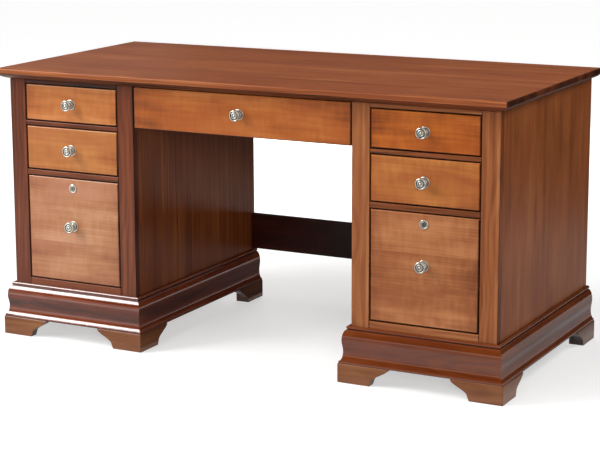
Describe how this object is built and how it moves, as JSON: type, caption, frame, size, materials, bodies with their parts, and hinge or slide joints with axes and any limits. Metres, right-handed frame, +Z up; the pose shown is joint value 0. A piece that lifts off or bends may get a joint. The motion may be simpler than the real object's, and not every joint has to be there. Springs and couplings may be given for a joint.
{
  "type": "double pedestal desk",
  "caption": "Wooden desk with two drawer pedestals, a centre drawer over an open kneehole, moulded bases and bracket feet.",
  "frame": {"origin": "on the floor, under the middle of the whole desk's box", "axes": "+X to the sitter's right along the top, +Y from the drawer side to the back, +Z up"},
  "size_m": [1.5282, 0.73, 0.77],
  "materials": {
    "top_wood": "stained maple, satin lacquer",
    "side_wood": "stained maple, satin lacquer",
    "frame_wood": "stained maple, satin lacquer",
    "front_wood": "stained figured maple, satin lacquer",
    "base_wood": "stained maple, satin lacquer",
    "back_wood": "stained veneered panel",
    "dark_wood": "dark stain, satin lacquer",
    "plain_wood": "clear lacquered maple",
    "plywood": "clear lacquered plywood",
    "nickel": "polished nickel",
    "slide_steel": "zinc plated"
  },
  "bodies": {
    "case": {"desk_top": "top_wood", "kneehole_rear_rail": "frame_wood", "kneehole_stretcher": "dark_wood", "top_frame_rails": "plain_wood", "slide_spacers": "plain_wood", "slide_cabinet_members": "slide_steel", "bracket_feet": "base_wood", "left_outer_side": "side_wood", "left_inner_side": "side_wood", "left_back_panel": "back_wood", "left_bottom_panel": "plywood", "left_face_frame": "frame_wood", "left_base_moulding": "base_wood", "right_outer_side": "side_wood", "right_inner_side": "side_wood", "right_back_panel": "back_wood", "right_bottom_panel": "plywood", "right_face_frame": "frame_wood", "right_base_moulding": "base_wood"},
    "left_upper_drawer": {"left_upper_drawer_front": "front_wood", "left_upper_drawer_box": "plain_wood", "left_upper_drawer_bottom": "plywood", "left_upper_drawer_knob": "nickel", "left_upper_drawer_slides": "slide_steel"},
    "left_middle_drawer": {"left_middle_drawer_front": "front_wood", "left_middle_drawer_box": "plain_wood", "left_middle_drawer_bottom": "plywood", "left_middle_drawer_knob": "nickel", "left_middle_drawer_slides": "slide_steel"},
    "left_file_drawer": {"left_file_drawer_front": "front_wood", "left_file_drawer_box": "plain_wood", "left_file_drawer_bottom": "plywood", "left_file_drawer_knob": "nickel", "left_file_drawer_slides": "slide_steel", "left_lock_barrel": "nickel"},
    "right_upper_drawer": {"right_upper_drawer_front": "front_wood", "right_upper_drawer_box": "plain_wood", "right_upper_drawer_bottom": "plywood", "right_upper_drawer_knob": "nickel", "right_upper_drawer_slides": "slide_steel"},
    "right_middle_drawer": {"right_middle_drawer_front": "front_wood", "right_middle_drawer_box": "plain_wood", "right_middle_drawer_bottom": "plywood", "right_middle_drawer_knob": "nickel", "right_middle_drawer_slides": "slide_steel"},
    "right_file_drawer": {"right_file_drawer_front": "front_wood", "right_file_drawer_box": "plain_wood", "right_file_drawer_bottom": "plywood", "right_file_drawer_knob": "nickel", "right_file_drawer_slides": "slide_steel", "right_lock_barrel": "nickel"},
    "center_drawer": {"center_drawer_front": "front_wood", "center_drawer_box": "plain_wood", "center_drawer_bottom": "plywood", "center_drawer_knob": "nickel", "center_drawer_slides": "slide_steel"},
    "left_slide_middle": {"left_file_slide_middles": "slide_steel"},
    "left_lock": {"left_lock_plug": "nickel"},
    "right_slide_middle": {"right_file_slide_middles": "slide_steel"},
    "right_lock": {"right_lock_plug": "nickel"}
  },
  "joints": [
    {"name": "left_upper_drawer_slide", "type": "slide", "parent": "case", "child": "left_upper_drawer", "axis": [0, -1, 0], "range_m": [0, 0.42]},
    {"name": "left_middle_drawer_slide", "type": "slide", "parent": "case", "child": "left_middle_drawer", "axis": [0, -1, 0], "range_m": [0, 0.42]},
    {"name": "left_file_drawer_slide", "type": "slide", "parent": "case", "child": "left_file_drawer", "axis": [0, -1, 0], "range_m": [0, 0.56]},
    {"name": "right_upper_drawer_slide", "type": "slide", "parent": "case", "child": "right_upper_drawer", "axis": [0, -1, 0], "range_m": [0, 0.42]},
    {"name": "right_middle_drawer_slide", "type": "slide", "parent": "case", "child": "right_middle_drawer", "axis": [0, -1, 0], "range_m": [0, 0.42]},
    {"name": "right_file_drawer_slide", "type": "slide", "parent": "case", "child": "right_file_drawer", "axis": [0, -1, 0], "range_m": [0, 0.56]},
    {"name": "center_drawer_slide", "type": "slide", "parent": "case", "child": "center_drawer", "axis": [0, -1, 0], "range_m": [0, 0.42]},
    {"name": "left_slide_middle_slide", "type": "slide", "parent": "case", "child": "left_slide_middle", "axis": [0, -1, 0], "range_m": [0, 0.28]},
    {"name": "left_lock_turn", "type": "hinge", "parent": "left_file_drawer", "child": "left_lock", "pos_m": [-0.5334, -0.332, 0.439], "axis": [0, -1, 0], "range_deg": [0, 90]},
    {"name": "right_slide_middle_slide", "type": "slide", "parent": "case", "child": "right_slide_middle", "axis": [0, -1, 0], "range_m": [0, 0.28]},
    {"name": "right_lock_turn", "type": "hinge", "parent": "right_file_drawer", "child": "right_lock", "pos_m": [0.5334, -0.332, 0.439], "axis": [0, -1, 0], "range_deg": [0, 90]}
  ],
  "couplings": [
    {"joint": "left_slide_middle_slide", "follows": "left_file_drawer_slide", "ratio": 0.5},
    {"joint": "right_slide_middle_slide", "follows": "right_file_drawer_slide", "ratio": 0.5}
  ]
}
